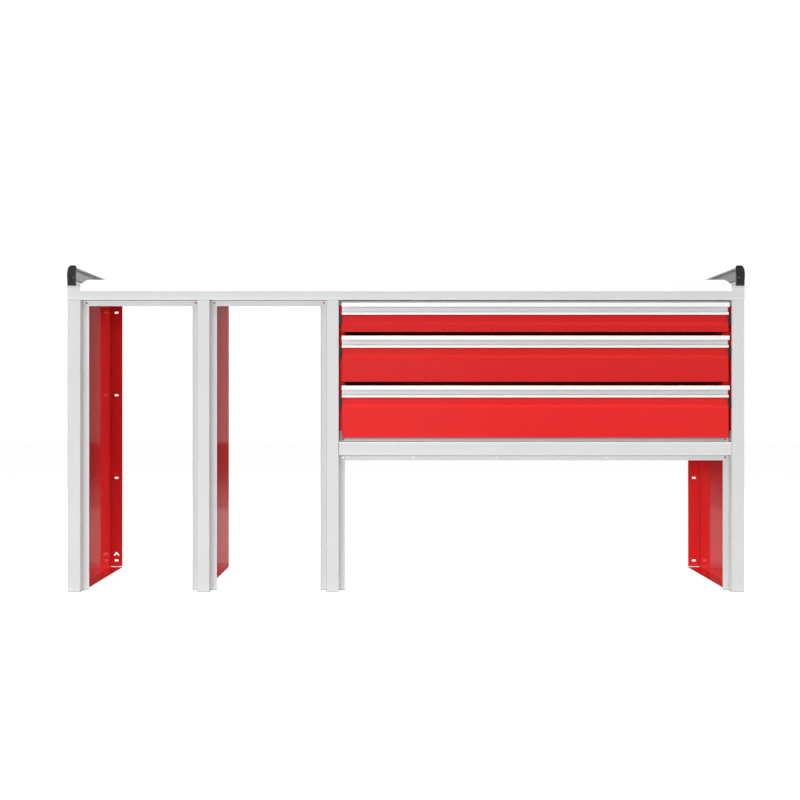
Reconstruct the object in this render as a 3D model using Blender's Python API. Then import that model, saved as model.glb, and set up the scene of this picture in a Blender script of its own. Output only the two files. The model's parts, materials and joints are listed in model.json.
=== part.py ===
"""A modular steel workbench: two open bays, and one wide bay with three full-extension drawers.

Metres, +Z up, front towards -Y. The origin is on the floor, at the centre of the bench's box.
"""

import math

import bmesh
import bpy
from mathutils import Vector

# ---- Driving dimensions ----
HALF_WIDTH = 1.016  # outside of the end posts
FRONT = -0.2945  # front face of the posts
BACK = FRONT + 0.600  # back face of the panels' flanges
SHEET = 0.002  # frame and panel sheet
THIN = 0.0015  # drawer sheet
GAP = 0.0003  # between pieces that touch
BEND = (0.0015, 3)  # inside radius of a fold, and steps along its arc
SHARP = (0.0005, 2)
INSIDE = SHEET + BEND[0] + GAP  # from a panel's outer face to the pieces within its folds
REACH = 0.010  # how far a cutter stands clear of what it cuts

END_POST = 0.039
MID_POST = 0.0375
MID_POST_X = (-0.6085, -0.2205)
POST_DEPTH = 0.040  # from the post's face to its flanges
END_RETURN = 0.060  # the end posts' outer side covers the panel's front edge
SETBACK = FRONT + POST_DEPTH
POST_FLANGE = 0.017

TOP_BEAM = (0.876, 0.912)  # face of the top front beam, low and high
TOP_STRIP = 0.8602  # lower edge of the flange under it
LOWER_BEAM = (0.411, 0.450)
LOWER_STRIP = 0.393
UPPER_STRIP = 0.483
POST_TOP = TOP_BEAM[0] - GAP
BOLT_HOLE = 0.003
BOLT_INSET = 0.0094  # from the post's side
BOLT_Z = TOP_BEAM[0] - 0.0065
LOWER_HOLES = (0.0105, 0.0255, 0.224, 0.475, 0.810)  # in the lower beam's hanging flange, from its left end
LOWER_HOLE_RISE = 0.0095
UPPER_HOLE = 0.0105  # in its upright flange, from its left end
UPPER_HOLE_RISE = 0.0065

PANEL_X = 1.013  # outer face of the end panels
PANEL_TOP = 0.9117
PANEL_FRONT = SETBACK + SHEET + GAP
PANEL_FLANGE = 0.040
PANEL_RELIEF = 0.0015  # gap between flanges that meet at a corner
SLOT_LENGTH, SLOT_WIDTH = 0.014, 0.007
SLOT_PITCH = 0.284
LOWEST_SLOT = 0.024
FOOT_HOLES = (0.241, 0.389)  # behind the posts' face
FOOT_HOLE_INSET = 0.018  # from the panel's web
CHEVRON_Z = 0.046
CHEVRON = (0.0085, 0.0075, 0.0052)  # half width, rise and stroke
CHEVRON_TIP = 0.0015  # half width of its blunt tip
CHEVRON_TOE = 0.003  # slope of its feet

REAR_BEAM_DEPTH = 0.030
REAR_BEAM_LOW = 0.8995
FLOOR_Z = 0.404
SHELF_BEAM_LOW = 0.383

BOARD_Z = (TOP_BEAM[1] + GAP, 0.9253)
LIP_Z = (0.9012, 0.936)
LIP_HALF = HALF_WIDTH - END_POST
LIP_PROUD = 0.005
LIP_THICK = 0.0043
LIP_RADIUS = 0.030

PLATE_TOP = 0.918
RISER_TOP = 0.930
RISER_INNER = 0.9852
RAIL_INNER = 0.9894
RAIL_TOP = 0.974
RAIL_INSET = 0.0005  # from the plate's outer side to the riser and the rail
SHOULDER = (0.011, 0.028)  # radii of the outer corner of a rail or cap
CORNER = 0.005  # radius of its inner corner
CAP_TOP = 0.9795
CAP_INNER = 0.9888
CAP_DEPTH = 0.005
CAP_PROUD = 0.004
RAIL_WALL = 0.003
RAIL_HOLLOW_TOP = 0.946
RAIL_UNDERCUT = 0.006
# The rail's inner side from its crown down, as depth behind its inner face and height: a groove, a rib, a
# shallow web, a bead along its lower edge and the undercut.
RAIL_GROOVES = (
    (0, 0.9675),
    (0.0045, 0.9665),
    (0.0045, 0.9608),
    (0, 0.9600),
    (0, 0.9588),
    (0.0015, 0.9573),
    (0.0015, 0.9385),
    (0, 0.9368),
    (0, 0.9337),
    (RAIL_UNDERCUT, 0.9337),
)

BAY_LEFT = MID_POST_X[1] + MID_POST / 2  # clear width of the drawer bay
BAY_RIGHT = HALF_WIDTH - END_POST
BAY_X = (BAY_LEFT + BAY_RIGHT) / 2
FRONT_HALF = 0.580
BOX_HALF = 0.558
SLIDE_THICK = 0.0127
LINER_HALF = BOX_HALF + SLIDE_THICK + 2 * GAP
DRAWER_TOPS = (0.8672, 0.7684, 0.619)
DRAWER_HEIGHTS = (0.0872, 0.138, 0.157)
PAN_DEPTH = 0.022
BOX_FRONT = FRONT + PAN_DEPTH + GAP
BOX_DEPTH = 0.520
BOX_RISE = 0.004  # bottom of the box above the bottom of its front
BOX_DROP = 0.0095  # top of the box below the top of its front
BOX_CLEARANCE = 0.003  # least height of a box above the lower beam
SLIDE_Z = 0.037  # middle of a slide above the bottom of its box
SLIDE_START = FRONT + 0.050
SLIDE_LENGTH = 0.500
# A slide's members: distance of the lips' edges and of the web from the liner, and half the height.
OUTER_MEMBER = (0.0095, GAP, 0.0225)
MIDDLE_MEMBER = (0.0103, 0.0042, 0.018)
INNER_MEMBER = (0.0072, SLIDE_THICK + GAP, 0.0135)
# Paths as depth behind the posts' face and height from the top of the front. The handle has a nose with its
# foot turned back, a top plate, a web and a lower lip; the front is set back behind it, then steps forward.
HANDLE_PATH = (
    (-0.009, -0.0134),
    (-0.015, -0.0134),
    (-0.015, 0),
    (0.011, 0),
    (0.011, -0.0278),
    (-0.001, -0.0298),
    (-0.001, -0.0356),
)
PAN_TOP_PATH = ((0.0125, -0.004), (0.0125, -0.0360), (0.006, -0.0360), (0.006, -0.0575), (0.0015, -0.0665))
PAN_FACE = 0.0015
PAN_END = (0.0025, 0.067, 0.0005)  # of a front's end plates: depth, top below its top, foot above its foot
STOP_DROP = (0.035, 0.066)
STOP_FRONT = 0.001
STOP_CLEARANCE = 0.0007  # between a side stop and the frame


# ---- Materials ----
def material(name, colour, roughness, metallic=0.0):
    made = bpy.data.materials.new(name)
    made.use_nodes = True
    shader = made.node_tree.nodes["Principled BSDF"]
    shader.inputs["Base Color"].default_value = (*colour, 1)
    shader.inputs["Roughness"].default_value = roughness
    shader.inputs["Metallic"].default_value = metallic
    made.diffuse_color = (*colour, 1)
    return made


# ---- Shapes ----
class Shape:
    """Closed pieces of geometry, gathered in one mesh."""

    def __init__(self):
        self.bm = bmesh.new()

    def prism(self, outline, axis, start, end):
        """The outline holds (y, z), (x, z) or (x, y), for an axis of x, y or z."""
        along = "xyz".index(axis)
        corners = []
        for u, v in outline:
            place = [u, v]
            place.insert(along, start)
            corners.append(self.bm.verts.new(place))
        cap = self.bm.faces.new(corners)
        grown = bmesh.ops.extrude_face_region(self.bm, geom=[cap], use_keep_orig=True)
        moved = [item for item in grown["geom"] if isinstance(item, bmesh.types.BMVert)]
        offset = Vector((0, 0, 0))
        offset[along] = end - start
        bmesh.ops.translate(self.bm, verts=moved, vec=offset)
        bmesh.ops.recalc_face_normals(self.bm, faces=self.bm.faces)
        return self

    def box(self, low, high):
        outline = [(low[0], low[1]), (high[0], low[1]), (high[0], high[1]), (low[0], high[1])]
        return self.prism(outline, "z", low[2], high[2])

    def mesh(self, name):
        mesh = bpy.data.meshes.new(name)
        self.bm.to_mesh(mesh)
        self.bm.free()
        mesh.shade_smooth()
        mesh.set_sharp_from_angle(angle=math.radians(35))
        return mesh


def arc(centre, radii, start, end, steps):
    """Points of an elliptic arc, with its angles in degrees."""
    points = []
    for step in range(steps + 1):
        angle = math.radians(start + (end - start) * step / steps)
        points.append((centre[0] + radii[0] * math.cos(angle), centre[1] + radii[1] * math.sin(angle)))
    return points


def folded(path, thickness=SHEET, bend=BEND):
    """Outline of a folded sheet. The path is one face; the sheet lies left of it, or right if negative."""
    side = math.copysign(1, thickness)
    inside, steps = bend
    outside = inside + abs(thickness)
    points = [Vector(point) for point in path]
    runs = [(after - before).normalized() for before, after in zip(points, points[1:])]
    normals = [Vector((-run.y, run.x)) * side for run in runs]
    near, far = [points[0]], [points[0] + normals[0] * abs(thickness)]
    for i, corner in enumerate(points[1:-1]):
        first, second = normals[i], normals[i + 1]
        towards_sheet = runs[i].cross(runs[i + 1]) * side > 0
        sign, near_radius, far_radius = (-1, outside, inside) if towards_sheet else (1, inside, outside)
        centre = corner - (first + second) / (1 + first.dot(second)) * near_radius * sign
        for step in range(steps + 1):
            spoke = first.slerp(second, step / steps) * sign
            near.append(centre + spoke * near_radius)
            far.append(centre + spoke * far_radius)
    near.append(points[-1])
    far.append(points[-1] + normals[-1] * abs(thickness))
    return [tuple(point) for point in near + far[::-1]]


def rounded(centre, half_length, radius, sides=12):
    """Outline of a slot with round ends, lying along its first coordinate."""
    run = half_length - radius
    right = arc((centre[0] + run, centre[1]), (radius, radius), -90, 90, sides // 2)
    left = arc((centre[0] - run, centre[1]), (radius, radius), 90, 270, sides // 2)
    return right + left


def circle(centre, radius, sides=12):
    return arc(centre, (radius, radius), 0, 360, sides)[:-1]


def mirrored(outline):
    return [(-u, v) for u, v in outline]


def helper(name, shape):
    made = bpy.data.objects.new(name, shape.mesh(name))
    bpy.context.scene.collection.objects.link(made)
    made.hide_render = True
    made.display_type = "WIRE"
    return made


def piece(name, shape, finish, add=(), cut=None, parent=None):
    """One sub-part: a base shape, joined with more shapes, less a cutter."""
    mesh = shape.mesh(name)
    mesh.materials.append(finish)
    made = bpy.data.objects.new(name, mesh)
    bpy.context.scene.collection.objects.link(made)
    steps = [("UNION", f"{name}_add_{i}", extra) for i, extra in enumerate(add)]
    if cut:
        steps.append(("DIFFERENCE", f"{name}_cut", cut))
    for operation, label, extra in steps:
        boolean = made.modifiers.new(label, "BOOLEAN")
        boolean.operation = operation
        boolean.solver = "EXACT"
        boolean.object = helper(label, extra)
    if parent:
        made.parent = parent
        made.matrix_parent_inverse = parent.matrix_world.inverted()
    return made


# ---- Frame ----
def post(name, left, right, outer, flange_cuts, finish):
    """A hat section. An end post has a deep outer return instead of its outer flange."""
    path = [(left - POST_FLANGE, SETBACK), (left, SETBACK), (left, FRONT)]
    path += [(right, FRONT), (right, SETBACK), (right + POST_FLANGE, SETBACK)]
    if outer == "left":
        path[:2] = [(left, FRONT + END_RETURN)]
    if outer == "right":
        path[-2:] = [(right, FRONT + END_RETURN)]
    cut = Shape()
    for side, low in flange_cuts:
        edge = right + GAP if side == "right" else left - GAP
        far = edge + (POST_FLANGE + REACH) * (1 if side == "right" else -1)
        cut.box((min(edge, far), SETBACK - REACH, low), (max(edge, far), SETBACK + REACH, POST_TOP + REACH))
    piece(name, Shape().prism(folded(path), "z", 0, POST_TOP), finish, cut=cut)


def posts(finish):
    under_top, under_beam = TOP_STRIP - GAP, LOWER_STRIP - GAP
    post("post_left", -HALF_WIDTH, END_POST - HALF_WIDTH, "left", [("right", under_top)], finish)
    for i, middle in enumerate(MID_POST_X):
        right_cut = under_top if i == 0 else under_beam
        cuts = [("left", under_top), ("right", right_cut)]
        post(f"post_mid_{i + 1}", middle - MID_POST / 2, middle + MID_POST / 2, None, cuts, finish)
    post("post_right", BAY_RIGHT, HALF_WIDTH, "right", [("left", under_beam)], finish)


def front_beams(finish):
    """The top beam runs over every post; the lower one carries the drawer bay."""
    path = [(SETBACK, TOP_BEAM[1]), (FRONT, TOP_BEAM[1]), (FRONT, TOP_BEAM[0])]
    path += [(SETBACK, TOP_BEAM[0]), (SETBACK, TOP_STRIP)]
    mids = [(middle - MID_POST / 2, middle + MID_POST / 2) for middle in MID_POST_X]
    beyond = HALF_WIDTH + REACH
    spans = [(-beyond, END_POST - HALF_WIDTH), *mids, (BAY_RIGHT, beyond)]
    near, below = SETBACK - 1.5 * SHEET, TOP_STRIP - REACH
    cut = Shape()
    for left, right in spans:
        cut.box((left - 2 * GAP, near, below), (right + 2 * GAP, SETBACK + REACH, TOP_BEAM[0]))
    bays = [(spans[i][1], spans[i + 1][0]) for i in range(2)]
    for left, right in bays:
        for x in (left + BOLT_INSET, right - BOLT_INSET):
            cut.prism(circle((x, BOLT_Z), BOLT_HOLE), "y", SETBACK - REACH / 2, SETBACK + REACH)
    beam = Shape().prism(folded(path), "x", -HALF_WIDTH, HALF_WIDTH)
    # A welded plate closes each end, and one more stands in the beam over each middle post.
    end = HALF_WIDTH - SHEET
    plates = []
    for x in (-end, *MID_POST_X, end):
        low = (x - SHEET / 2, FRONT + SHEET / 2, TOP_BEAM[0] + SHEET / 2)
        plates.append(Shape().box(low, (x + SHEET / 2, SETBACK, TOP_BEAM[1] - SHEET / 2)))
    piece("top_front_beam", beam, finish, add=plates, cut=cut)

    path = [(SETBACK, UPPER_STRIP), (SETBACK, LOWER_BEAM[1]), (FRONT, LOWER_BEAM[1])]
    path += [(FRONT, LOWER_BEAM[0]), (SETBACK, LOWER_BEAM[0]), (SETBACK, LOWER_STRIP)]
    left, right = BAY_LEFT + 2 * GAP, BAY_RIGHT - 2 * GAP
    lower = [left + hole for hole in LOWER_HOLES] + [right - BOLT_INSET]
    upper = [left + UPPER_HOLE, right - BOLT_INSET]
    cut = Shape()
    for holes, z in ((lower, LOWER_STRIP + LOWER_HOLE_RISE), (upper, LOWER_BEAM[1] + UPPER_HOLE_RISE)):
        for x in holes:
            cut.prism(circle((x, z), BOLT_HOLE), "y", SETBACK - REACH / 2, SETBACK + REACH)
    piece("lower_front_beam", Shape().prism(folded(path), "x", left, right), finish, cut=cut)


def channel(low, high, front, back):
    """Section of a rear beam, open downwards."""
    return folded([(back, low), (back, high), (front, high), (front, low)])


def rear_beams(finish):
    reach = PANEL_X - INSIDE
    section = channel(REAR_BEAM_LOW, TOP_BEAM[1], BACK - REAR_BEAM_DEPTH, BACK)
    piece("top_rear_beam", Shape().prism(section, "x", -reach, reach), finish)
    back = BACK - 2 * SHEET - GAP
    section = channel(SHELF_BEAM_LOW, FLOOR_Z - GAP, back - REAR_BEAM_DEPTH, back)
    left = MID_POST_X[1] + SHEET + GAP
    piece("lower_rear_beam", Shape().prism(section, "x", left, reach), finish)


# ---- Panels ----
def chevron(x, z):
    """An arrow head of two strokes with square ends, pointing up."""
    half, rise, stroke = CHEVRON
    tip = (CHEVRON_TIP, rise / 2 + stroke / 2)
    right = [(half, -rise / 2 - stroke / 3), (half, -rise / 2 + stroke / 2), tip]
    left = [(-u, v) for u, v in reversed(right)]
    crotch = (0, rise / 2 - stroke / 2)
    foot = (half - CHEVRON_TOE, -rise / 2 - stroke / 2)
    outline = [foot, *right, *left, (-foot[0], foot[1]), crotch]
    return [(x + u, z + v) for u, v in outline]


def panel(name, web, facing, finish, beam_crosses, arrow=False):
    """A pan with four flanges turned towards `facing`; its web starts at x = web."""
    inner = web + SHEET * facing
    edge = web + PANEL_FLANGE * facing
    ends = SHEET + PANEL_RELIEF
    upright = [(edge, PANEL_FRONT), (web, PANEL_FRONT), (web, BACK), (edge, BACK)]
    thickness = SHEET if facing < 0 else -SHEET
    # The uprights of the pan, and the web beyond their ends with its top and bottom flanges.
    middle = Shape().prism(folded(upright, thickness), "z", ends, PANEL_TOP - ends)
    lying = [(edge, 0), (web, 0), (web, PANEL_TOP), (edge, PANEL_TOP)]
    level = Shape().prism(folded(lying, thickness), "y", PANEL_FRONT + ends, BACK - ends)
    cut = Shape()
    start = web - REACH * facing if beam_crosses else inner + GAP * facing
    low_x, high_x = sorted((start, edge + REACH * facing))
    rear = BACK - REAR_BEAM_DEPTH - GAP
    cut.box((low_x, rear, REAR_BEAM_LOW - GAP), (high_x, BACK + REACH, PANEL_TOP + REACH))
    middle_x = web + PANEL_FLANGE / 2 * facing
    slots = 0
    while LOWEST_SLOT + slots * SLOT_PITCH < REAR_BEAM_LOW:
        z = LOWEST_SLOT + slots * SLOT_PITCH
        outline = rounded((middle_x, z), SLOT_LENGTH / 2, SLOT_WIDTH / 2)
        cut.prism(outline, "y", BACK - REACH / 2, BACK + REACH / 2)
        slots += 1
    if arrow:
        cut.prism(chevron(middle_x, CHEVRON_Z), "y", BACK - REACH / 2, BACK + REACH / 2)
    for depth in FOOT_HOLES:
        place = (web + FOOT_HOLE_INSET * facing, FRONT + depth)
        cut.prism(circle(place, BOLT_HOLE), "z", -REACH / 2, REACH / 2)
    piece(name, middle, finish, add=[level], cut=cut)


def panels(finish):
    panel("side_panel_left", -PANEL_X, 1, finish, beam_crosses=False, arrow=True)
    for i, middle in enumerate(MID_POST_X):
        panel(f"divider_panel_{i + 1}", middle + SHEET, -1, finish, beam_crosses=True)
    panel("side_panel_right", PANEL_X, -1, finish, beam_crosses=False)


# ---- Drawer bay ----
def drawer_bay(finish):
    left, right = MID_POST_X[1] + SHEET + GAP, PANEL_X - INSIDE
    narrow = PANEL_X - PANEL_FLANGE - GAP
    front, back = PANEL_FRONT + SHEET + GAP, BACK - SHEET - GAP
    top = REAR_BEAM_LOW - GAP
    sheet = Shape().box((left, BACK - SHEET, SHELF_BEAM_LOW), (narrow, BACK, top))
    piece("drawer_bay_back_panel", sheet, finish)
    sheet = Shape().box((left, front, FLOOR_Z), (right, back, FLOOR_Z + SHEET))
    piece("drawer_bay_floor", sheet, finish)
    for name, outer, web in (
        ("drawer_bay_liner_left", left, BAY_X - LINER_HALF),
        ("drawer_bay_liner_right", right, BAY_X + LINER_HALF),
    ):
        path = [(outer, front), (web, front), (web, back), (outer, back)]
        section = folded(path, SHEET if outer < web else -SHEET)
        piece(name, Shape().prism(section, "z", FLOOR_Z + SHEET + GAP, top), finish)


# ---- Worktop and side rails ----
def worktop(finish):
    reach = LIP_HALF - GAP
    board = Shape().box((-reach, FRONT - GAP, BOARD_Z[0]), (reach, BACK, BOARD_Z[1]))
    piece("worktop_board", board, finish)
    low, high = LIP_Z
    corner = (LIP_HALF - LIP_RADIUS, high - LIP_RADIUS)
    right = arc(corner, (LIP_RADIUS, LIP_RADIUS), 0, 90, 8)
    outline = [(-LIP_HALF, low), (LIP_HALF, low), *right, *mirrored(right[::-1])]
    face = FRONT - LIP_PROUD
    piece("worktop_front_lip", Shape().prism(outline, "y", face, face + LIP_THICK), finish)


def crown(inner, outer, top):
    """Rounded top of a rail or cap, from its outer side to its inner side."""
    over = arc((outer - SHOULDER[0], top - SHOULDER[1]), SHOULDER, 0, 90, 8)
    inside = arc((inner + CORNER, top - CORNER), (CORNER, CORNER), 90, 180, 4)
    return over + inside


def side_rail(side, sign, paint, aluminium, plastic):
    """A support with a riser, an extruded rail on it, and a moulded cap on each end."""

    def placed(outline):
        return outline if sign > 0 else mirrored(outline)

    def block(inner, outer, low, high):
        return placed([(inner, low), (outer, low), (outer, high), (inner, high)])

    rail_start, rail_end = FRONT + CAP_DEPTH - CAP_PROUD + GAP, BACK - CAP_DEPTH + CAP_PROUD - GAP
    plate = Shape().prism(block(LIP_HALF, HALF_WIDTH, TOP_BEAM[1] + GAP, PLATE_TOP), "y", FRONT, BACK)
    riser_section = block(RISER_INNER, HALF_WIDTH - RAIL_INSET, PLATE_TOP - SHEET, RISER_TOP)
    riser = Shape().prism(riser_section, "y", rail_start, rail_end)
    piece(f"rail_support_{side}", plate, paint, add=[riser])

    inner, outer = RAIL_INNER, HALF_WIDTH - RAIL_INSET
    floor = RISER_TOP + GAP
    grooves = [(inner + depth, z) for depth, z in RAIL_GROOVES]
    outline = [(inner + RAIL_UNDERCUT, floor), (outer, floor), *crown(inner, outer, RAIL_TOP), *grooves]
    hollow = block(inner + RAIL_UNDERCUT + RAIL_WALL, outer - RAIL_WALL, floor + RAIL_WALL, RAIL_HOLLOW_TOP)
    rail = Shape().prism(placed(outline), "y", rail_start, rail_end)
    tunnel = Shape().prism(hollow, "y", rail_start - REACH, rail_end + REACH)
    piece(f"side_rail_{side}", rail, aluminium, cut=tunnel)

    low = PLATE_TOP + 2 * GAP
    outline = placed([(CAP_INNER, low), (HALF_WIDTH, low), *crown(CAP_INNER, HALF_WIDTH, CAP_TOP)])
    for end, face in (("front", FRONT - CAP_PROUD), ("rear", BACK + CAP_PROUD - CAP_DEPTH)):
        cap = Shape().prism(outline, "y", face, face + CAP_DEPTH)
        piece(f"rail_cap_{end}_{side}", cap, plastic)


# ---- Drawers ----
def handle_outline(top):
    return folded([(FRONT + y, top + z) for y, z in HANDLE_PATH], -SHEET, SHARP)


def pan_outline(top, height):
    path = [*PAN_TOP_PATH, (PAN_FACE, -height), (PAN_DEPTH, -height)]
    return folded([(FRONT + y, top + z) for y, z in path], THIN, SHARP)


def slides(number, middle, bodies, finish):
    """Outer members stay on the liners, the intermediate ones run half way, the inner ones all the way."""
    for side, sign in (("left", 1), ("right", -1)):
        liner = BAY_X - LINER_HALF * sign
        for kind, (lip, web, half), parent in (
            ("outer", OUTER_MEMBER, None),
            ("middle", MIDDLE_MEMBER, bodies[1]),
            ("inner", INNER_MEMBER, bodies[0]),
        ):
            corners = [(lip, half), (web, half), (web, -half), (lip, -half)]
            path = [(liner + u * sign, middle + v) for u, v in corners]
            turn = 1 if (lip > web) == (sign > 0) else -1
            section = folded(path, THIN * turn, SHARP)
            member = Shape().prism(section, "y", SLIDE_START, SLIDE_START + SLIDE_LENGTH)
            piece(f"drawer_{number}_slide_{kind}_{side}", member, finish, parent=parent)


def drawer_box(name, low, high, finish, parent):
    outer_low = (BAY_X - BOX_HALF, BOX_FRONT, low)
    outer_high = (BAY_X + BOX_HALF, BOX_FRONT + BOX_DEPTH, high)
    inside_low = [value + THIN for value in outer_low]
    inside_high = (outer_high[0] - THIN, outer_high[1] - THIN, high + REACH)
    box = Shape().box(outer_low, outer_high)
    piece(name, box, finish, cut=Shape().box(inside_low, inside_high), parent=parent)


def drawer(number, top, height, finishes):
    bodies = []
    for label in (f"drawer_{number}_travel", f"drawer_{number}_runner_travel"):
        empty = bpy.data.objects.new(label, None)
        empty.location = (BAY_X, FRONT, top - height / 2)
        bpy.context.scene.collection.objects.link(empty)
        bodies.append(empty)
    bpy.context.view_layer.update()
    travel = bodies[0]
    left, right = BAY_X - FRONT_HALF, BAY_X + FRONT_HALF

    handle = Shape().prism(handle_outline(top), "x", left, right)
    piece(f"drawer_{number}_handle", handle, finishes["aluminium"], parent=travel)

    sheet = Shape().prism(pan_outline(top, height), "x", left, right)
    end_depth, end_top, end_foot = PAN_END
    ends = []
    for edge in (left, right - THIN):
        low = (edge, FRONT + end_depth, top - height + end_foot)
        ends.append(Shape().box(low, (edge + THIN, FRONT + PAN_DEPTH, top - end_top)))
    piece(f"drawer_{number}_front", sheet, finishes["red"], add=ends, parent=travel)

    low = max(top - height + BOX_RISE, UPPER_STRIP + BOX_CLEARANCE)
    drawer_box(f"drawer_{number}_box", low, top - BOX_DROP, finishes["red"], travel)
    slides(number, low + SLIDE_Z, bodies, finishes["zinc"])

    for side, sign in (("left", -1), ("right", 1)):
        near, far = FRONT_HALF + GAP, (BAY_RIGHT - BAY_LEFT) / 2 - STOP_CLEARANCE
        xs = sorted((BAY_X + near * sign, BAY_X + far * sign))
        low_corner = (xs[0], FRONT + STOP_FRONT, top - STOP_DROP[1])
        stop = Shape().box(low_corner, (xs[1], FRONT + PAN_DEPTH, top - STOP_DROP[0]))
        piece(f"drawer_{number}_side_stop_{side}", stop, finishes["plastic"], parent=travel)


def main():
    for item in list(bpy.data.objects):
        bpy.data.objects.remove(item, do_unlink=True)
    finishes = {
        "grey": material("light_grey_paint", (0.70, 0.71, 0.71), 0.45),
        "red": material("red_paint", (0.62, 0.02, 0.02), 0.25),
        "white": material("white_laminate", (0.93, 0.93, 0.92), 0.4),
        "aluminium": material("anodised_aluminium", (0.80, 0.80, 0.81), 0.35, 0.9),
        "plastic": material("black_plastic", (0.03, 0.03, 0.03), 0.4),
        "zinc": material("zinc_steel", (0.62, 0.63, 0.65), 0.3, 1.0),
    }
    posts(finishes["grey"])
    front_beams(finishes["grey"])
    rear_beams(finishes["grey"])
    panels(finishes["red"])
    drawer_bay(finishes["red"])
    worktop(finishes["white"])
    for side, sign in (("left", -1), ("right", 1)):
        side_rail(side, sign, finishes["grey"], finishes["aluminium"], finishes["plastic"])
    for i, (top, height) in enumerate(zip(DRAWER_TOPS, DRAWER_HEIGHTS)):
        drawer(i + 1, top, height, finishes)


main()
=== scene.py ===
"""Looks for the workbench with drawers: materials, moulded and formed details, studio and camera."""

import json
import math

import bmesh
import bpy
from mathutils import Matrix, Vector


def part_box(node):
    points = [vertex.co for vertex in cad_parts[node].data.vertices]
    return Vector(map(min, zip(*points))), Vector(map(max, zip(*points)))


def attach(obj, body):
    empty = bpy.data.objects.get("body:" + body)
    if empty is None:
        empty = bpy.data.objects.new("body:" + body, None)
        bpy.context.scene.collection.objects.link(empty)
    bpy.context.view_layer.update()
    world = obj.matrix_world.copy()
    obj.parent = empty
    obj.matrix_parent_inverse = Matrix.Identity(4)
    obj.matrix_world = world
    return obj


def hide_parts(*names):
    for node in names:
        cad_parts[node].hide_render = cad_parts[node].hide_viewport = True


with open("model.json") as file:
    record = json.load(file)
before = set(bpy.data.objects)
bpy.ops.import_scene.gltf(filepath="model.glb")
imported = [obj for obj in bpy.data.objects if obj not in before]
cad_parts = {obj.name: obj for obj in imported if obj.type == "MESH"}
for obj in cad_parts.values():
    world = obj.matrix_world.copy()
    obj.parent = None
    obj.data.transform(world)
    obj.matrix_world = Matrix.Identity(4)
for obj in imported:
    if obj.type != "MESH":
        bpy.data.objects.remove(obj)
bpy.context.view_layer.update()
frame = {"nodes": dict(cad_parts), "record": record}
NODES = frame["nodes"]


# ---- Node helpers ----
def new_material(name):
    """A material with a Principled shader, as (material, nodes, links, shader)."""
    made = bpy.data.materials.new(name)
    made.use_nodes = True
    nodes, links = made.node_tree.nodes, made.node_tree.links
    return made, nodes, links, nodes["Principled BSDF"]


# Noise mostly lies between these values.
NOISE_LOW, NOISE_HIGH = 0.3, 0.7


def stretched(nodes, links, scale):
    """Object coordinates, scaled along each axis, in features a metre."""
    place = nodes.new("ShaderNodeTexCoord")
    mapping = nodes.new("ShaderNodeMapping")
    mapping.inputs["Scale"].default_value = scale
    links.new(place.outputs["Object"], mapping.inputs["Vector"])
    return mapping.outputs["Vector"]


def noise(nodes, links, scale, detail=2.0, roughness=0.5):
    """Noise as a value near 0.5, whose features are 1/scale metres long."""
    made = nodes.new("ShaderNodeTexNoise")
    made.inputs["Scale"].default_value = 1.0
    made.inputs["Detail"].default_value = detail
    made.inputs["Roughness"].default_value = roughness
    scale = (scale, scale, scale) if isinstance(scale, (int, float)) else scale
    links.new(stretched(nodes, links, scale), made.inputs["Vector"])
    return made.outputs["Fac"]


def ranged(nodes, links, value, low, high):
    """The usual spread of a noise value, mapped to low..high."""
    made = nodes.new("ShaderNodeMapRange")
    made.inputs["From Min"].default_value = NOISE_LOW
    made.inputs["From Max"].default_value = NOISE_HIGH
    made.inputs["To Min"].default_value = low
    made.inputs["To Max"].default_value = high
    links.new(value, made.inputs["Value"])
    return made.outputs["Result"]


def bumped(nodes, links, shader, height, distance):
    """Bump from a value; the distance is its full height in metres."""
    made = nodes.new("ShaderNodeBump")
    made.inputs["Strength"].default_value = 1.0
    made.inputs["Distance"].default_value = distance
    links.new(height, made.inputs["Height"])
    links.new(made.outputs["Normal"], shader.inputs["Normal"])


def tinted(nodes, links, shader, factor, first, second):
    """Base colour that runs between two close ones. The first is a colour or a socket."""
    made = nodes.new("ShaderNodeMix")
    made.data_type = "RGBA"
    if isinstance(first, tuple):
        made.inputs["A"].default_value = (*first, 1)
    else:
        links.new(first, made.inputs["A"])
    made.inputs["B"].default_value = (*second, 1)
    links.new(factor, made.inputs["Factor"])
    links.new(made.outputs["Result"], shader.inputs["Base Color"])
    return made.outputs["Result"]


def scaled(colour, factor):
    return tuple(channel * factor for channel in colour)


def computed(nodes, links, operation, first, second):
    """One step of arithmetic. Each value is a number or a socket."""
    made = nodes.new("ShaderNodeMath")
    made.operation = operation
    for place, value in zip(made.inputs, (first, second)):
        if isinstance(value, (int, float)):
            place.default_value = value
        else:
            links.new(value, place)
    return made.outputs[0]


def leaning(nodes, links):
    """1 where the surface leans halfway, as over a bend, and 0 where it is upright or level: the mask of a
    painted highlight over folds and slants.
    """
    place, parts = nodes.new("ShaderNodeTexCoord"), nodes.new("ShaderNodeSeparateXYZ")
    links.new(place.outputs["Normal"], parts.inputs["Vector"])
    lean = computed(nodes, links, "ABSOLUTE", parts.outputs["Z"], 0.0)
    rest = computed(nodes, links, "SUBTRACT", 1.0, lean)
    product = computed(nodes, links, "MULTIPLY", lean, rest)  # at most a quarter
    return computed(nodes, links, "MULTIPLY", product, 4.0)


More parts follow.
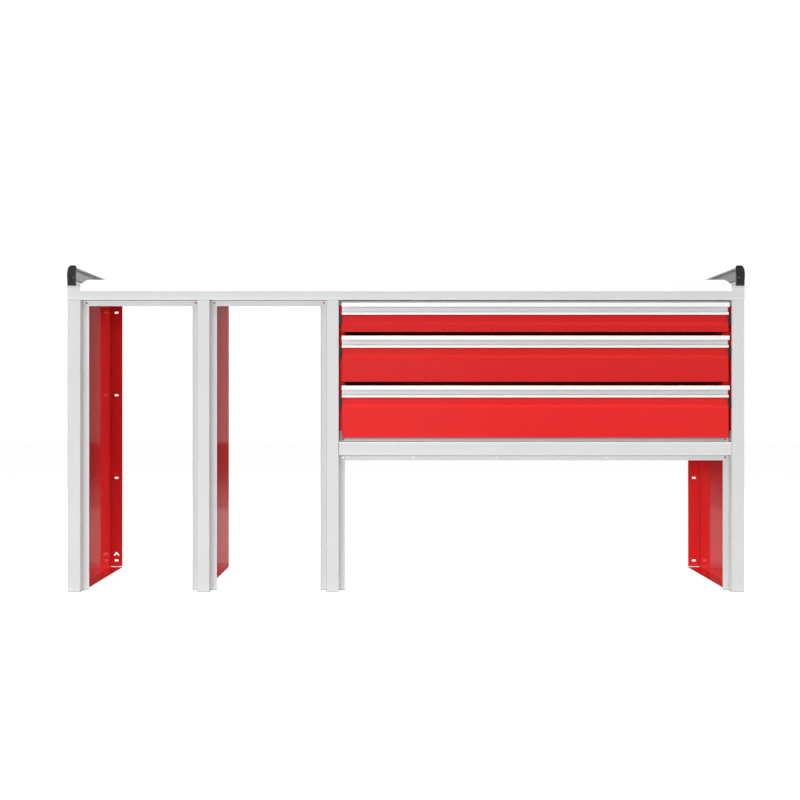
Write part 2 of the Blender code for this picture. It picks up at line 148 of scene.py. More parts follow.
# ---- Materials ----
def powder_coat(name, colour, gloss, fold_highlight=None):
    """Baked powder paint: faint orange peel, slightly uneven gloss and tone. The gloss is a roughness,
    a height of peel and a specular level; fold_highlight is the factor of a painted highlight, a paler tone
    over folds."""
    roughness, peel, specular = gloss
    made, nodes, links, shader = new_material(name)
    clouds = ranged(nodes, links, noise(nodes, links, 9.0), 0.0, 1.0)
    tone = tinted(nodes, links, shader, clouds, scaled(colour, 0.985), scaled(colour, 1.015))
    uneven = noise(nodes, links, 60.0, 3.0)
    rough = ranged(nodes, links, uneven, roughness * 0.9, roughness * 1.1)
    links.new(rough, shader.inputs["Roughness"])
    # Painted highlight: a paler tone where the surface leans, over folds and slanted steps.
    if fold_highlight:
        tinted(nodes, links, shader, leaning(nodes, links), tone, scaled(colour, fold_highlight))
    bumped(nodes, links, shader, noise(nodes, links, 620.0, 2.0), peel)
    shader.inputs["Specular IOR Level"].default_value = specular
    return made


def laminate(name, colour):
    """Melamine skin: matt, with a very fine pearl texture."""
    made, nodes, links, shader = new_material(name)
    clouds = ranged(nodes, links, noise(nodes, links, 900.0, 1.0), 0.0, 1.0)
    tinted(nodes, links, shader, clouds, scaled(colour, 0.98), colour)
    links.new(ranged(nodes, links, noise(nodes, links, 40.0), 0.36, 0.44), shader.inputs["Roughness"])
    bumped(nodes, links, shader, noise(nodes, links, 1400.0, 2.0), 0.00003)
    return made


def hollows(nodes, links, reach, span):
    """Rises from 0 in narrow hollows to 1 in the open, within the span of openness: the mask of painted
    shade from ambient occlusion.
    """
    made = nodes.new("ShaderNodeAmbientOcclusion")
    made.samples = 8
    made.inputs["Distance"].default_value = reach
    shade = nodes.new("ShaderNodeMapRange")
    shade.inputs["From Min"].default_value, shade.inputs["From Max"].default_value = span
    links.new(made.outputs["AO"], shade.inputs["Value"])
    return shade.outputs["Result"]


def extruded_aluminium(name, colour, along, metallic, roughness, hollow_shade):
    """Anodised extrusion: fine die lines along the profile, and painted shade in its hollows, a darker
    colour where they are enclosed. hollow_shade is a factor of the colour, how far the hollows are felt, and
    the span of their openness."""
    shade_factor, reach, span = hollow_shade
    made, nodes, links, shader = new_material(name)
    across = {"x": (3.0, 2200.0, 2200.0), "y": (2200.0, 3.0, 2200.0)}[along]
    lines = noise(nodes, links, across, 2.0)
    # Painted shade: the colour darkens in hollows, found by ambient occlusion.
    tinted(nodes, links, shader, hollows(nodes, links, reach, span), scaled(colour, shade_factor), colour)
    rough = ranged(nodes, links, lines, roughness * 0.85, roughness * 1.15)
    links.new(rough, shader.inputs["Roughness"])
    bumped(nodes, links, shader, lines, 0.00002)
    shader.inputs["Metallic"].default_value = metallic
    return made


def moulded_plastic(name, colour):
    """Injection-moulded part with a fine spark-eroded grain."""
    made, nodes, links, shader = new_material(name)
    grain = noise(nodes, links, 1500.0, 3.0, 0.6)
    speckle = ranged(nodes, links, grain, 0.0, 1.0)
    tinted(nodes, links, shader, speckle, scaled(colour, 0.85), scaled(colour, 1.15))
    links.new(ranged(nodes, links, noise(nodes, links, 90.0), 0.30, 0.38), shader.inputs["Roughness"])
    bumped(nodes, links, shader, grain, 0.00004)
    return made


def zinc_plate(name, colour):
    """Bright zinc on rolled steel: faint spangle and rolling lines."""
    made, nodes, links, shader = new_material(name)
    spangle = noise(nodes, links, 140.0, 3.0)
    tinted(nodes, links, shader, ranged(nodes, links, spangle, 0.0, 1.0), scaled(colour, 0.9), colour)
    lines = noise(nodes, links, (900.0, 6.0, 900.0))
    links.new(ranged(nodes, links, lines, 0.22, 0.34), shader.inputs["Roughness"])
    bumped(nodes, links, shader, spangle, 0.00003)
    shader.inputs["Metallic"].default_value = 1.0
    return made


GREY_TONE = (0.63, 0.64, 0.635)
RED_TONE = (0.66, 0.022, 0.022)
FRONT_LIGHT_TONES = (0.86, 0.93, 1.06)  # of the fronts' red: painted light and shade, the higher fronts darker and the lower ones paler, as light from below makes them
# Roughness, height of the orange peel, and specular level.
SATIN = (0.46, 0.00004, 0.5)
GLOSSY = (0.08, 0.000005, 0.25)
GREY_FOLD_HIGHLIGHT, RED_FOLD_HIGHLIGHT = 1.45, 1.23  # factors of the painted highlight, a paler tone over folds
# Painted shade in hollows: factor of the colour there, how far they are felt, and the span of their
# openness.
HANDLE_HOLLOW_SHADE = (0.76, 0.030, (0.45, 0.95))
RAIL_HOLLOW_SHADE = (0.35, 0.006, (0.55, 0.95))

GREY = powder_coat("light_grey_paint", GREY_TONE, SATIN)
# The beams' grey, with a painted highlight along their folds.
GREY_FOLD_LIT = powder_coat("light_grey_paint_fold_lit", GREY_TONE, SATIN, GREY_FOLD_HIGHLIGHT)
RED = powder_coat("red_paint", RED_TONE, GLOSSY)
FRONT_REDS_LIT = {}
# Lit and shaded copies of the red, one for each front: painted light.
for number, tone in enumerate(FRONT_LIGHT_TONES, 1):
    red = powder_coat(f"red_paint_{number}", scaled(RED_TONE, tone), GLOSSY, RED_FOLD_HIGHLIGHT)
    FRONT_REDS_LIT[f"drawer_{number}_front"] = red
WHITE = laminate("white_laminate", (0.93, 0.93, 0.925))
HANDLE = extruded_aluminium("anodised_handle", (0.97, 0.97, 0.97), "x", 0.15, 0.36, HANDLE_HOLLOW_SHADE)
RAIL = extruded_aluminium("anodised_rail", (0.46, 0.46, 0.47), "y", 0.85, 0.34, RAIL_HOLLOW_SHADE)
PLASTIC = moulded_plastic("black_plastic", (0.026, 0.026, 0.026))
ZINC = zinc_plate("zinc_steel", (0.66, 0.67, 0.69))

FINISHES = {
    "light_grey_paint": GREY,
    "red_paint": RED,
    "white_laminate": WHITE,
    "anodised_aluminium": HANDLE,
    "black_plastic": PLASTIC,
    "zinc_steel": ZINC,
}
# Of nodes whose looks differ from the rest of their slot.
SPECIAL_FINISHES = {
    **FRONT_REDS_LIT,
    "side_rail_left": RAIL,
    "side_rail_right": RAIL,
    "top_front_beam": GREY_FOLD_LIT,
    "lower_front_beam": GREY_FOLD_LIT,
}


# ---- Shapes ----
TOUCH = 1e-6  # vertices nearer than this to a plane lie on it


class Shape:
    """Closed pieces of geometry, gathered in one mesh."""

    def __init__(self):
        self.bm = bmesh.new()

    def prism(self, outline, axis, start, end):
        """The outline holds (y, z), (x, z) or (x, y), for an axis of x, y or z."""
        along = "xyz".index(axis)
        ends = []
        for level in (start, end):
            places = [[u, v] for u, v in outline]
            for place in places:
                place.insert(along, level)
            ends.append([self.bm.verts.new(place) for place in places])
        for ring in ends:
            self.bm.faces.new(ring)
        for i in range(len(outline)):
            self.bm.faces.new((ends[0][i - 1], ends[0][i], ends[1][i], ends[1][i - 1]))
        return self

    def box(self, low, high):
        """A block between two opposite corners."""
        outline = [(low[0], low[1]), (high[0], low[1]), (high[0], high[1]), (low[0], high[1])]
        return self.prism(outline, "z", low[2], high[2])

    def turned(self, profile, foot, towards, sides=12):
        """A turned shape. The profile runs from the axis out and back to it, as radius and height above the
        foot; where a third value is given, that ring has so many corners instead of being round."""
        turn = Vector((0, 0, 1)).rotation_difference(Vector(towards)).to_matrix()
        rings = []
        for radius, height, *corners in profile:
            ring = []
            for i in range(sides if radius else 1):
                angle = 2 * math.pi * i / sides
                reach = radius
                if corners:
                    sector = 2 * math.pi / corners[0]
                    reach *= math.cos(sector / 2) / math.cos(angle % sector - sector / 2)
                place = Vector((reach * math.cos(angle), reach * math.sin(angle), height))
                ring.append(self.bm.verts.new(Vector(foot) + turn @ place))
            rings.append(ring)
        for near, far in zip(rings, rings[1:]):
            for i in range(sides):
                below = [near[i - 1], near[i]] if len(near) > 1 else near
                above = [far[i], far[i - 1]] if len(far) > 1 else far
                self.bm.faces.new(below + above)
        return self

    def ball(self, centre, radius):
        """A faceted ball."""
        bmesh.ops.create_icosphere(self.bm, subdivisions=2, radius=radius, matrix=Matrix.Translation(centre))
        return self

    def rounded_edges(self, chosen, radius, segments=3):
        """Rounds the edges for which chosen(edge) holds."""
        edges = [edge for edge in self.bm.edges if chosen(edge)]
        bmesh.ops.bevel(self.bm, geom=edges, offset=radius, segments=segments, profile=0.5, affect="EDGES")
        return self

    def made(self, name):
        """The geometry as an object in the scene."""
        bmesh.ops.recalc_face_normals(self.bm, faces=self.bm.faces)
        mesh = bpy.data.meshes.new(name)
        self.bm.to_mesh(mesh)
        self.bm.free()
        made = bpy.data.objects.new(name, mesh)
        bpy.context.scene.collection.objects.link(made)
        return made


def arc(centre, radii, start, end, steps):
    """Points of an elliptic arc, with its angles in degrees."""
    points = []
    for step in range(steps + 1):
        angle = math.radians(start + (end - start) * step / steps)
        points.append((centre[0] + radii[0] * math.cos(angle), centre[1] + radii[1] * math.sin(angle)))
    return points


def upright_slot(centre, half_length, radius, steps=5):
    """Outline of a slot with round ends, lying along its second coordinate."""
    run = half_length - radius
    over = arc((centre[0], centre[1] + run), (radius, radius), 0, 180, steps)
    under = arc((centre[0], centre[1] - run), (radius, radius), 180, 360, steps)
    return over + under


def spread(low, high, pitch, margin):
    """Places from low to high, evenly spread and about a pitch apart, clear of both ends by the margin."""
    count = max(1, round((high - low - 2 * margin) / pitch))
    return [low + margin + (high - low - 2 * margin) * i / count for i in range(count + 1)]


def carved(obj, *shapes):
    """Cuts each shape out of the object's mesh."""
    cutters = [shape.made(f"cutter_{i}") for i, shape in enumerate(shapes)]
    for cutter in cutters:
        cut = obj.modifiers.new("cut", "BOOLEAN")
        cut.operation, cut.solver, cut.object = "DIFFERENCE", "EXACT", cutter
    whole = obj.data
    obj.data = bpy.data.meshes.new_from_object(obj.evaluated_get(bpy.context.evaluated_depsgraph_get()))
    obj.modifiers.clear()
    bpy.data.meshes.remove(whole)
    for cutter in cutters:
        bpy.data.meshes.remove(cutter.data)
    return obj


def placed(obj, body, slot, sharp=32):
    """Gives a new piece its finish, its shading and the body that it rides on. Edges bent by more than
    `sharp` degrees stay sharp."""
    obj.data.materials.clear()
    obj.data.materials.append(FINISHES[slot])
    obj.data.shade_smooth()
    obj.data.set_sharp_from_angle(angle=math.radians(sharp))
    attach(obj, body)
    return obj


# ---- CAD nodes: paint, soft edges ----
EDGE = 0.0004  # width of a softened edge
WELD = 0.00005
CREASE = 35  # degrees; an edge bent by more than this is softened


def dress(node, finish):
    """Gives a CAD node its finish and softens its sharp edges; its own mesh stays as it is."""
    obj = NODES[node]
    for slot in obj.material_slots:
        slot.material = finish
    obj.data.shade_smooth()
    weld = obj.modifiers.new("weld", "WELD")
    weld.merge_threshold = WELD
    bevel = obj.modifiers.new("edge", "BEVEL")
    bevel.width = EDGE
    bevel.segments = 2
    bevel.limit_method = "ANGLE"
    bevel.angle_limit = math.radians(CREASE)
    bevel.harden_normals = False
    normals = obj.modifiers.new("normals", "WEIGHTED_NORMAL")
    normals.keep_sharp = True


for subpart in frame["record"]["subparts"]:
    node = subpart["node"]
    dress(node, SPECIAL_FINISHES.get(node, FINISHES[subpart["material_slot"]]))


# ---- Fasteners, edging and flange edges ----
FRAME_SHEET = 0.002
CLEAR = 0.0005  # left between an added piece and the beams above and below it
LEDGE_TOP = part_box("top_front_beam")[1].z + 0.006  # top of the rail supports' plates
# Radius and height of each kind of head.
BOLT = (0.0040, 0.0033)
BACK_RIVET = (0.0042, 0.0017)
PANEL_SCREW = (0.0046, 0.0024)
LEDGE_SCREW = (0.0030, 0.0014)
END_INSET = 0.018  # from a beam's or panel's end to its bolts or screws
PAIR = 0.009  # half the distance of the two bolts over a divider
RIVET_INSET = 0.012
RIVET_PITCH = (0.15, 0.12)  # along X and Z
SCREW_INSET = 0.014  # from the post's return, and above the bay's floor
# Pitch of a row of screws, and what it leaves free at each end.
PANEL_ROW = (0.28, 0.030)
FLOOR_ROW = (0.12, 0.11)
LEDGE_ROW = (0.16, 0.06)
LEDGE_SCREW_INSET = 0.0042  # from the end of the worktop's front band
EDGING = 0.0008  # thickness of the red edging
EDGING_WIDTH = 0.0140  # of its side on the post's flange
EDGING_SETBACK = 0.0025  # behind the post's face
EDGING_PROUD = 0.0004  # of the post's side
EDGING_GAP = 0.0002  # to the post's flange
FLANGE_LAP = 0.0006  # of the flange's edge on the flange


def rivet(radius, height):
    """A low round head."""
    return ((0, 0), (radius, 0), (radius, 0.25 * height), (0.8 * radius, 0.7 * height), (0, height))


def button_screw(radius, height):
    """A low round head with a hexagon socket."""
    side = ((0, 0), (radius, 0), (radius, 0.2 * height))
    crown = ((0.85 * radius, 0.7 * height), (0.6 * radius, height))
    socket = ((0.45 * radius, height, 6), (0.45 * radius, 0.3 * height, 6), (0, 0.25 * height))
    return side + crown + socket


def flanged_bolt(radius, height):
    """A hexagon head on its own washer."""
    washer = ((0, 0), (1.35 * radius, 0), (1.35 * radius, 0.2 * height), (radius, 0.32 * height, 6))
    return washer + ((radius, 0.88 * height, 6), (0.8 * radius, height), (0, height))


def rear_fasteners():
    """Bolts along the top rear beam, and rivets round the back panel."""
    low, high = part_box("top_rear_beam")
    middle = (low.z + high.z) / 2
    bolts = Shape()
    dividers = [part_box(f"divider_panel_{number}") for number in (1, 2)]
    places = [low.x + END_INSET, high.x - END_INSET]
    places += [(start.x + end.x) / 2 + side for start, end in dividers for side in (-PAIR, PAIR)]
    for x in places:
        bolts.turned(flanged_bolt(*BOLT), (x, high.y, middle), (0, 1, 0))
    placed(bolts.made("rear_beam_bolts"), "root", "zinc_steel")

    low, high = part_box("drawer_bay_back_panel")
    inset = RIVET_INSET
    level = spread(low.x, high.x, RIVET_PITCH[0], inset)
    upright = spread(low.z, high.z, RIVET_PITCH[1], inset)[1:-1]
    places = [(x, z) for x in level for z in (low.z + inset, high.z - inset)]
    places += [(x, z) for x in (low.x + inset, high.x - inset) for z in upright]
    rivets = Shape()
    for x, z in places:
        rivets.turned(rivet(*BACK_RIVET), (x, high.y, z), (0, 1, 0))
    placed(rivets.made("back_panel_rivets"), "root", "zinc_steel")


def side_fasteners(side, sign):
    """Screws through a side panel: beside the post's return, along the rear flange, and on the right side
    into the bay's floor."""
    low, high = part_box(f"side_panel_{side}")
    web = high.x if sign > 0 else low.x
    columns = (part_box(f"post_{side}")[1].y + SCREW_INSET, high.y - END_INSET)
    places = [(y, z) for y in columns for z in spread(low.z, high.z, *PANEL_ROW)]
    if sign > 0:
        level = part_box("drawer_bay_floor")[1].z + SCREW_INSET
        places += [(y, level) for y in spread(*columns, *FLOOR_ROW)]
    screws = Shape()
    for y, z in places:
        screws.turned(button_screw(*PANEL_SCREW), (web, y, z), (sign, 0, 0))
    placed(screws.made(f"side_panel_screws_{side}"), "root", "zinc_steel")


def rail_support_screws(side, sign):
    """Screws through the ledge of a rail's support, beside its riser."""
    low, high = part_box(f"rail_support_{side}")
    x = (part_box("worktop_front_lip")[1].x + LEDGE_SCREW_INSET) * sign
    screws = Shape()
    for y in spread(low.y, high.y, *LEDGE_ROW):
        screws.turned(button_screw(*LEDGE_SCREW), (x, y, LEDGE_TOP), (0, 0, 1))
    placed(screws.made(f"rail_support_screws_{side}"), "root", "zinc_steel")


def bay_edging(side, sign):
    """A thin red edging in the corner of a post, seen in the narrow gap beside the drawer fronts."""
    beam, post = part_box("lower_front_beam"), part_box("post_mid_2")
    near = beam[1].x if sign > 0 else beam[0].x
    front, flange = post[0].y + EDGING_SETBACK, post[1].y - FRAME_SHEET - EDGING_GAP
    outer, inner = near + EDGING_PROUD * sign, near - EDGING_WIDTH * sign
    outline = [(near, front), (outer, front), (outer, flange), (inner, flange)]
    outline += [(inner, flange - EDGING), (near, flange - EDGING)]
    foot, head = beam[1].z + CLEAR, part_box("top_front_beam")[0].z - CLEAR
    shape = Shape().prism(outline, "z", foot, head)
    placed(shape.made(f"bay_edging_{side}"), "root", "red_paint")


def flange_edge(number):
    """The edge of a middle post's flange, which covers the divider behind it."""
    post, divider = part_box(f"post_mid_{number}"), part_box(f"divider_panel_{number}")
    low = (divider[0].x, post[1].y - FRAME_SHEET, post[0].z)
    high = (post[0].x + FLANGE_LAP, post[1].y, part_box("top_front_beam")[0].z - CLEAR)
    placed(Shape().box(low, high).made(f"post_flange_edge_{number}"), "root", "light_grey_paint")


rear_fasteners()
for side, sign in (("left", -1), ("right", 1)):
    side_fasteners(side, sign)
    bay_edging(side, sign)
    rail_support_screws(side, sign)
for number in (1, 2):
    flange_edge(number)


# ---- Rail caps ----
CAP_SHOULDER = (0.011, 0.028)  # half axes of its elliptic arc
CAP_CORNER = 0.005
CAP_ROUND = 0.0040
CAP_SCREW = (0.0027, 0.0012)  # radius and height
RECESS = (0.0070, 0.0016)  # radius and depth
RECESS_PLACE = (0.0097, 0.0244)  # of its centre, from the cap's inner side and foot


def rail_cap(end, side):
    """A moulded cap with a softly rounded face and a screw in a round recess."""
    node = f"rail_cap_{end}_{side}"
    low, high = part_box(node)
    sign = 1 if side == "right" else -1
    inner, outer = sorted((abs(low.x), abs(high.x)))
    face, back = (low.y, high.y) if end == "front" else (high.y, low.y)
    inward = math.copysign(1, back - face)
    over = arc((outer - CAP_SHOULDER[0], high.z - CAP_SHOULDER[1]), CAP_SHOULDER, 0, 90, 14)
    inside = arc((inner + CAP_CORNER, high.z - CAP_CORNER), (CAP_CORNER, CAP_CORNER), 90, 180, 6)
    outline = [(x * sign, z) for x, z in ((inner, low.z), (outer, low.z), *over, *inside)]
    shape = Shape().prism(outline, "y", face, back)

    def on_face(edge):
        return all(abs(vert.co.y - face) < TOUCH for vert in edge.verts)

    shape.rounded_edges(on_face, CAP_ROUND, 4)
    radius, depth = RECESS
    centre = ((inner + RECESS_PLACE[0]) * sign, face, low.z + RECESS_PLACE[1])
    recess = ((0, -depth), (1.1 * radius, -depth), (0.95 * radius, depth), (0, depth))
    cutter = Shape().turned(recess, centre, (0, inward, 0), 24)
    cap = carved(shape.made(f"moulded_cap_{end}_{side}"), cutter)
    placed(cap, "root", "black_plastic")
    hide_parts(node)
    seat = (centre[0], face + inward * depth, centre[2])
    screw = Shape().turned(button_screw(*CAP_SCREW), seat, (0, -inward, 0))
    placed(screw.made(f"cap_screw_{end}_{side}"), "root", "zinc_steel")


for end in ("front", "rear"):
    for side in ("left", "right"):
        rail_cap(end, side)


# ---- Drawer boxes and slides ----
BOX_SHEET = 0.0015
HEM = 0.009  # width of the rim folded inwards
HEM_FALL = 0.006  # height of its turned-down edge
RIM_ROUND = 0.0012
SLOT = (0.013, 0.0018)  # half length and end radius
SLOT_PITCH = 0.050
SLOT_MARGIN = 0.040  # from a wall's ends
SLOT_FOOT = 0.020  # from the foot of the front and rear walls
ROWS = 3  # of slots, at most
ROW_PITCH = 0.036
SLIDE_BAND = 0.055  # the slides' screws and members take this much of a side wall, from its foot
RIB = (0.006, 0.0016)  # half width and height
RIB_SUNK = 0.0004  # in the floor
RIB_ROW = (0.14, 0.08)  # pitch, and what is left free beside the side walls
RIB_END = 0.045  # from the front and rear walls
ANGLE_GAP = 0.0003  # between a corner angle and the front or box
ANGLE_DEPTH = 0.0150
ANGLE_INSET = 0.0012  # from the side stop's outer face
ANGLE_END = 0.002  # from the front's upper and lower edge
BEAM_GAP = 0.001  # above the lower beam's flange
BALL_RADIUS = 0.0014
BALL_PITCH = 0.0065
BALLS = 14
OUTER_BALLS, INNER_BALLS = 0.30, 0.03  # where each row starts, from the intermediate member's front
CAGE = (0.0017, 0.0003)  # half width and half thickness of the strip that holds the balls
SLIDE_SCREW = (0.0034, 0.0012)  # radius and height
SLIDE_SCREW_ROW = (0.14, 0.030)  # pitch, and what is left free at each end
SMOOTH_BALLS = 60  # degrees; below this a ball's facets are smooth


def slot_rows(low, high):
    """Heights of the rows of slots that fit between two levels."""
    falls = [i * ROW_PITCH for i in range(ROWS)]
    return [high - SLOT[0] - fall for fall in falls if high - 2 * SLOT[0] - fall > low]


def drawer_box(number):
    """An open-topped box with a hemmed rim, rows of slots for partitions, and ribs pressed in its floor."""
    node = f"drawer_{number}_box"
    low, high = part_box(node)
    sheet = Vector((BOX_SHEET,) * 3)
    shape = Shape().box(low, high)
    shape.rounded_edges(lambda edge: max(v.co.z for v in edge.verts) > high.z - TOUCH, RIM_ROUND)
    mouth_low = (low.x + HEM, low.y + HEM, high.z - HEM)
    mouth_high = (high.x - HEM, high.y - HEM, high.z + HEM)
    hem_foot = high.z - BOX_SHEET - HEM_FALL
    across, along = Shape(), Shape()
    for z in slot_rows(low.z + SLOT_FOOT, hem_foot):
        for x in spread(low.x, high.x, SLOT_PITCH, SLOT_MARGIN):
            across.prism(upright_slot((x, z), *SLOT), "y", low.y - HEM, high.y + HEM)
    rows = slot_rows(low.z + SLIDE_BAND, hem_foot)
    for z in rows:
        for y in spread(low.y, high.y, SLOT_PITCH, SLOT_MARGIN):
            along.prism(upright_slot((y, z), *SLOT), "x", low.x - HEM, high.x + HEM)
    cutters = [Shape().box(low + sheet, high - sheet), Shape().box(mouth_low, mouth_high), across]
    box = carved(shape.made(f"formed_box_{number}"), *cutters, *([along] if rows else []))
    placed(box, f"drawer_{number}", "red_paint")
    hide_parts(node)

    floor = low.z + BOX_SHEET
    sunk = floor - RIB_SUNK
    ribs = Shape()
    for x in spread(low.x, high.x, *RIB_ROW):
        outline = [*arc((x, floor), RIB, 0, 180, 8), (x - RIB[0], sunk), (x + RIB[0], sunk)]
        ribs.prism(outline, "y", low.y + RIB_END, high.y - RIB_END)
    placed(ribs.made(f"floor_ribs_{number}"), f"drawer_{number}", "red_paint")


def corner_angle(number, side):
    """Joins the front to the box, above the lower beam's flange."""
    front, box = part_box(f"drawer_{number}_front"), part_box(f"drawer_{number}_box")
    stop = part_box(f"drawer_{number}_side_stop_{side}")
    end, sign = (1, 1) if side == "right" else (0, -1)
    near, far = front[1].y + ANGLE_GAP, front[1].y + ANGLE_DEPTH
    web, tip = box[end].x + ANGLE_GAP * sign, stop[end].x - ANGLE_INSET * sign
    inner = web + BOX_SHEET * sign
    outline = [(web, near), (tip, near), (tip, near + BOX_SHEET), (inner, near + BOX_SHEET)]
    outline += [(inner, far), (web, far)]
    foot = max(front[0].z + ANGLE_END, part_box("lower_front_beam")[1].z + BEAM_GAP)
    shape = Shape().prism(outline, "z", foot, front[1].z - ANGLE_END)
    placed(shape.made(f"corner_angle_{number}_{side}"), f"drawer_{number}", "red_paint")


def slide_details(number, side):
    """Ball rows that travel with the intermediate member, and the screws of the inner one."""
    names = [f"drawer_{number}_slide_{kind}_{side}" for kind in ("outer", "middle", "inner")]
    outer, middle, inner = (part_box(name) for name in names)
    sign = 1 if side == "left" else -1  # from the liner towards the box
    level = (outer[0].z + outer[1].z) / 2

    def near_side(box):
        return min(box[0].x * sign, box[1].x * sign)

    def far_side(box):
        return max(box[0].x * sign, box[1].x * sign)

    def half(box):
        return (box[1].z - box[0].z) / 2

    balls = Shape()
    for near, far, start in ((outer, middle, OUTER_BALLS), (middle, inner, INNER_BALLS)):
        # Each row lies between two lips that overlap.
        x = (far_side(near) + near_side(far)) / 2 * sign
        lift = (half(near) - BOX_SHEET + half(far)) / 2
        for z in (level - lift, level + lift):
            first = middle[0].y + start
            last = first + BALL_PITCH * (BALLS - 1)
            left, right = x - CAGE[0], x + CAGE[0]
            foot, head = z - CAGE[1], z + CAGE[1]
            cage = ((left, foot), (right, foot), (right, head), (left, head))
            balls.prism(cage, "y", first - BALL_PITCH, last + BALL_PITCH)
            for i in range(BALLS):
                balls.ball((x, first + BALL_PITCH * i, z), BALL_RADIUS)
    row = balls.made(f"drawer_{number}_ball_rows_{side}")
    placed(row, f"drawer_{number}_runners", "zinc_steel", SMOOTH_BALLS)

    web = (far_side(inner) - BOX_SHEET) * sign
    screws = Shape()
    for y in spread(inner[0].y, inner[1].y, *SLIDE_SCREW_ROW):
        screws.turned(button_screw(*SLIDE_SCREW), (web, y, level), (-sign, 0, 0))
    placed(screws.made(f"drawer_{number}_slide_screws_{side}"), f"drawer_{number}", "zinc_steel")


for number in (1, 2, 3):
    drawer_box(number)
    for side in ("left", "right"):
        corner_angle(number, side)
        slide_details(number, side)


# ---- Studio ----
FLOOR_REACH = 14.0
FLOOR_DROP = 0.0005  # below the feet
FLOOR_TONE = 0.15
FLOOR_WHITE = 0.95  # its own light, for the camera only
ROOM_SEEN = 1.05
# What the room gives as light: in front of the bench, behind it, and as more near the front horizon.
ROOM_FRONT, ROOM_BACK, ROOM_HORIZON = 0.08, 0.18, 0.08
# Spans of a direction's Y and Z over which the room passes from one level to the next.
ROOM_SPAN, HORIZON_SPAN, HORIZON_RISE = (-0.3, 0.3), (-0.6, -0.1), (0.10, 0.30)
DIFFUSE_ONLY = ("front_key", "floor_near", "floor_under", "top_front")  # don't show in reflections
# Name, place, target, width and height, power in watts.
SOFTBOXES = (
    ("front_key", (-1.1, -5.1, 0.75), (0, 0, 0.6), (3.2, 1.4), 180),
    ("floor_glow", (0, -2.45, 0.003), (0, -2.45, 1.0), (6.0, 4.2), 7),
    ("floor_near", (0, -0.72, 0.004), (0, -0.72, 1.0), (5.0, 0.75), 6.0),
    ("floor_under", (0, 0, 0.003), (0, 0, 1.0), (2.1, 0.65), 3.1),
    ("floor_back", (0, 1.6, 0.003), (0, 1.6, 1.0), (5.0, 2.4), 4),
    ("side_left", (-4.5, -1.2, 1.1), (0, 0, 0.5), (3.0, 2.0), 10),
    ("side_right", (4.5, -1.2, 1.1), (0, 0, 0.5), (3.0, 2.0), 74),
    ("back_left", (-3.5, 3.2, 1.6), (0, 0, 0.5), (2.6, 2.4), 119),
    ("back_right", (3.5, 3.2, 1.6), (0, 0, 0.5), (2.6, 2.4), 151),
    ("top", (0, 0.2, 3.6), (0, 0, 0.9), (5.0, 3.0), 60),
    ("top_front", (0, -2.6, 3.6), (0, 0, 0.6), (5.0, 1.4), 43),
)
LENS, SENSOR = 61.2, 36.0  # mm
CAMERA_PLACE = (-0.018, -4.3745, 0.5757)


def for_camera(nodes, links, others, seen, out):
    """Mixes two shaders: one that the camera sees, and one for the light that falls on the bench."""
    path, mix = nodes.new("ShaderNodeLightPath"), nodes.new("ShaderNodeMixShader")
    links.new(path.outputs["Is Camera Ray"], mix.inputs["Fac"])
    links.new(others, mix.inputs[1])
    links.new(seen, mix.inputs[2])
    links.new(mix.outputs[0], out.inputs["Surface"])


def studio_floor():
    """A plain white floor; most of its white is its own, so that it stays even."""
    mesh = bpy.data.meshes.new("studio_floor")
    low, high = -FLOOR_REACH, FLOOR_REACH
    corners = [(low, low), (high, low), (high, high), (low, high)]
    mesh.from_pydata([(x, y, -FLOOR_DROP) for x, y in corners], [], [(0, 1, 2, 3)])
    floor = bpy.data.objects.new("studio_floor", mesh)
    bpy.context.scene.collection.objects.link(floor)
    made, nodes, links, shader = new_material("studio_floor")
    clouds = ranged(nodes, links, noise(nodes, links, 2.0), 0.0, 1.0)
    tinted(nodes, links, shader, clouds, (FLOOR_TONE,) * 3, (FLOOR_TONE + 0.01,) * 3)
    shader.inputs["Roughness"].default_value = 0.8
    white, both = nodes.new("ShaderNodeEmission"), nodes.new("ShaderNodeAddShader")
    white.inputs["Strength"].default_value = FLOOR_WHITE
    links.new(shader.outputs[0], both.inputs[0])
    links.new(white.outputs[0], both.inputs[1])
    for_camera(nodes, links, shader.outputs[0], both.outputs[0], nodes["Material Output"])
    mesh.materials.append(made)


def faded(nodes, links, value, span, levels):
    """The value's span, mapped smoothly to two levels."""
    made = nodes.new("ShaderNodeMapRange")
    made.interpolation_type = "SMOOTHSTEP"
    made.inputs["From Min"].default_value, made.inputs["From Max"].default_value = span
    made.inputs["To Min"].default_value, made.inputs["To Max"].default_value = levels
    links.new(value, made.inputs["Value"])
    return made.outputs["Result"]


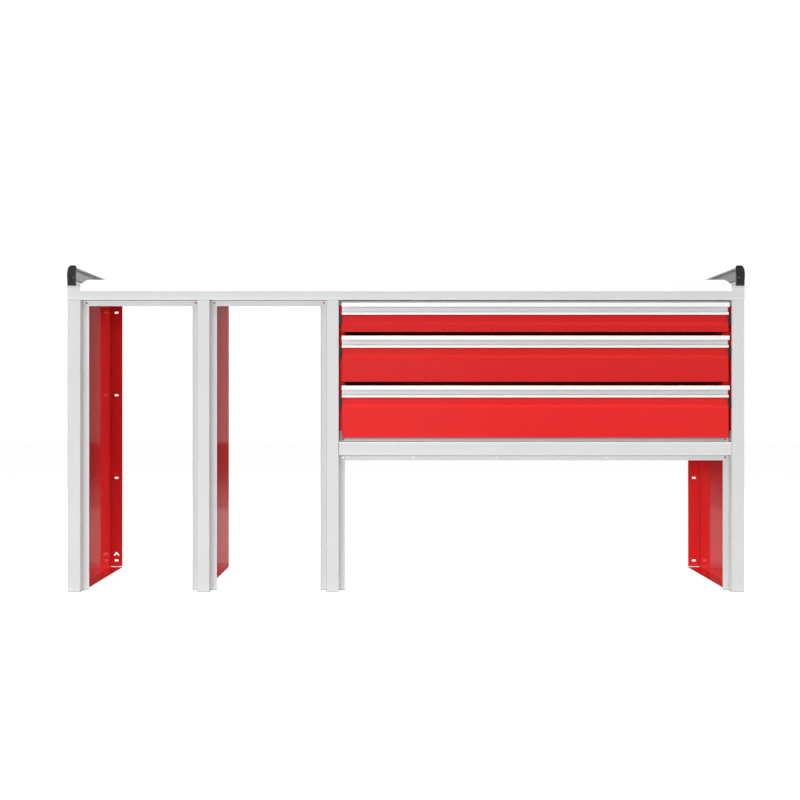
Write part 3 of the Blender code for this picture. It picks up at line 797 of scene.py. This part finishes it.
def studio_world():
    """White for the camera. As light it is dim: more behind the bench, and a band near the front horizon."""
    world = bpy.data.worlds.new("studio")
    world.use_nodes = True
    nodes, links = world.node_tree.nodes, world.node_tree.links
    nodes.clear()
    seen, felt = nodes.new("ShaderNodeBackground"), nodes.new("ShaderNodeBackground")
    for background in (seen, felt):
        background.inputs["Color"].default_value = (1, 1, 1, 1)
    seen.inputs["Strength"].default_value = ROOM_SEEN
    place, parts = nodes.new("ShaderNodeTexCoord"), nodes.new("ShaderNodeSeparateXYZ")
    links.new(place.outputs["Generated"], parts.inputs["Vector"])
    around = faded(nodes, links, parts.outputs["Y"], ROOM_SPAN, (ROOM_FRONT, ROOM_BACK))
    front = faded(nodes, links, parts.outputs["Y"], HORIZON_SPAN, (ROOM_HORIZON, 0.0))
    low = faded(nodes, links, parts.outputs["Z"], HORIZON_RISE, (1.0, 0.0))
    band = computed(nodes, links, "MULTIPLY", front, low)
    links.new(computed(nodes, links, "ADD", around, band), felt.inputs["Strength"])
    out = nodes.new("ShaderNodeOutputWorld")
    for_camera(nodes, links, felt.outputs[0], seen.outputs[0], out)
    bpy.context.scene.world = world


def softbox(name, place, target, size, power):
    """A rectangular light that faces its target."""
    light = bpy.data.lights.new(name, "AREA")
    light.shape = "RECTANGLE"
    light.size, light.size_y = size
    light.energy = power
    made = bpy.data.objects.new(name, light)
    made.location = place
    made.rotation_euler = (Vector(target) - Vector(place)).to_track_quat("-Z", "Y").to_euler()
    made.visible_camera = False
    made.visible_glossy = name not in DIFFUSE_ONLY
    bpy.context.scene.collection.objects.link(made)


def camera():
    """Straight in front of the bench, level, a little left of its middle."""
    made = bpy.data.objects.new("camera", bpy.data.cameras.new("camera"))
    made.data.lens = LENS
    made.data.sensor_width = SENSOR
    made.location = CAMERA_PLACE
    made.rotation_euler = (math.radians(90), 0, 0)
    bpy.context.scene.collection.objects.link(made)
    bpy.context.scene.camera = made


studio_floor()
studio_world()
for settings in SOFTBOXES:
    softbox(*settings)
camera()
bpy.context.scene.view_settings.view_transform = "Standard"
